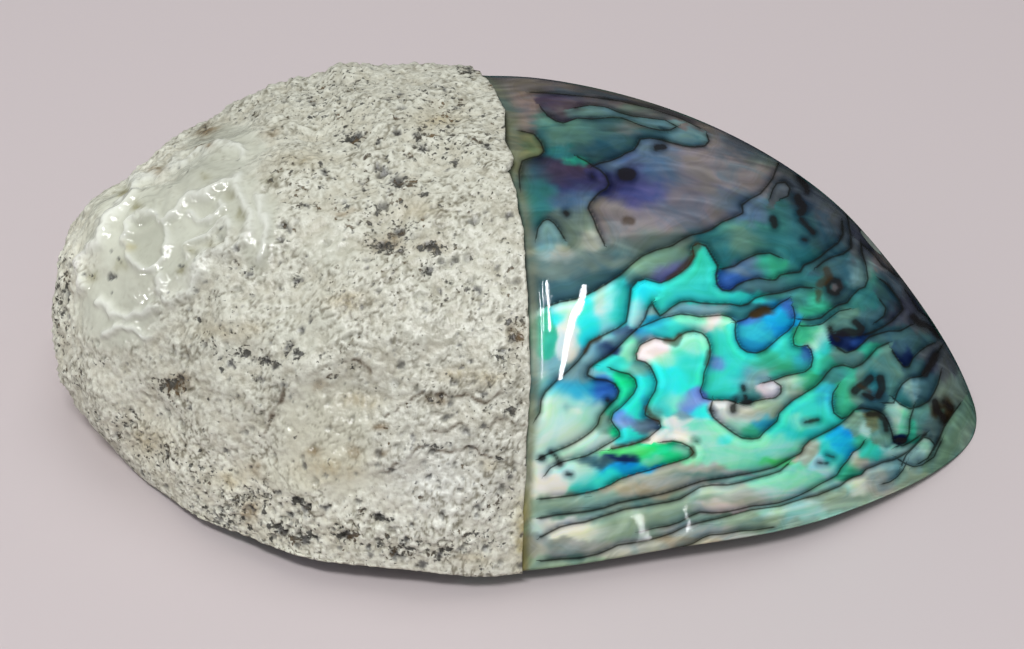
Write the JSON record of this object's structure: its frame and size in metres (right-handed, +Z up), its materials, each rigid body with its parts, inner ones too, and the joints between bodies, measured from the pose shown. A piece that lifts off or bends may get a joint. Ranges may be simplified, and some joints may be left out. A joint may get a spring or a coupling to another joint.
{
  "type": "abalone shell",
  "caption": "Hollow ear-shaped abalone shell lying mouth down, with a rough pale crust on the spire half, polished iridescent nacre on the growing half, and a row of pores along the back.",
  "frame": {"origin": "middle of the shell's length and width, on the surface that its rim rests on", "axes": "+X along the length to the growing end, +Y across to the back that carries the pores, +Z up through the crown"},
  "size_m": [0.1484, 0.0999, 0.0465],
  "materials": {
    "shell": "rough chalky crust on one half, polished nacre on the other half and inside"
  },
  "bodies": {
    "root": {"shell": "shell"}
  },
  "joints": []
}
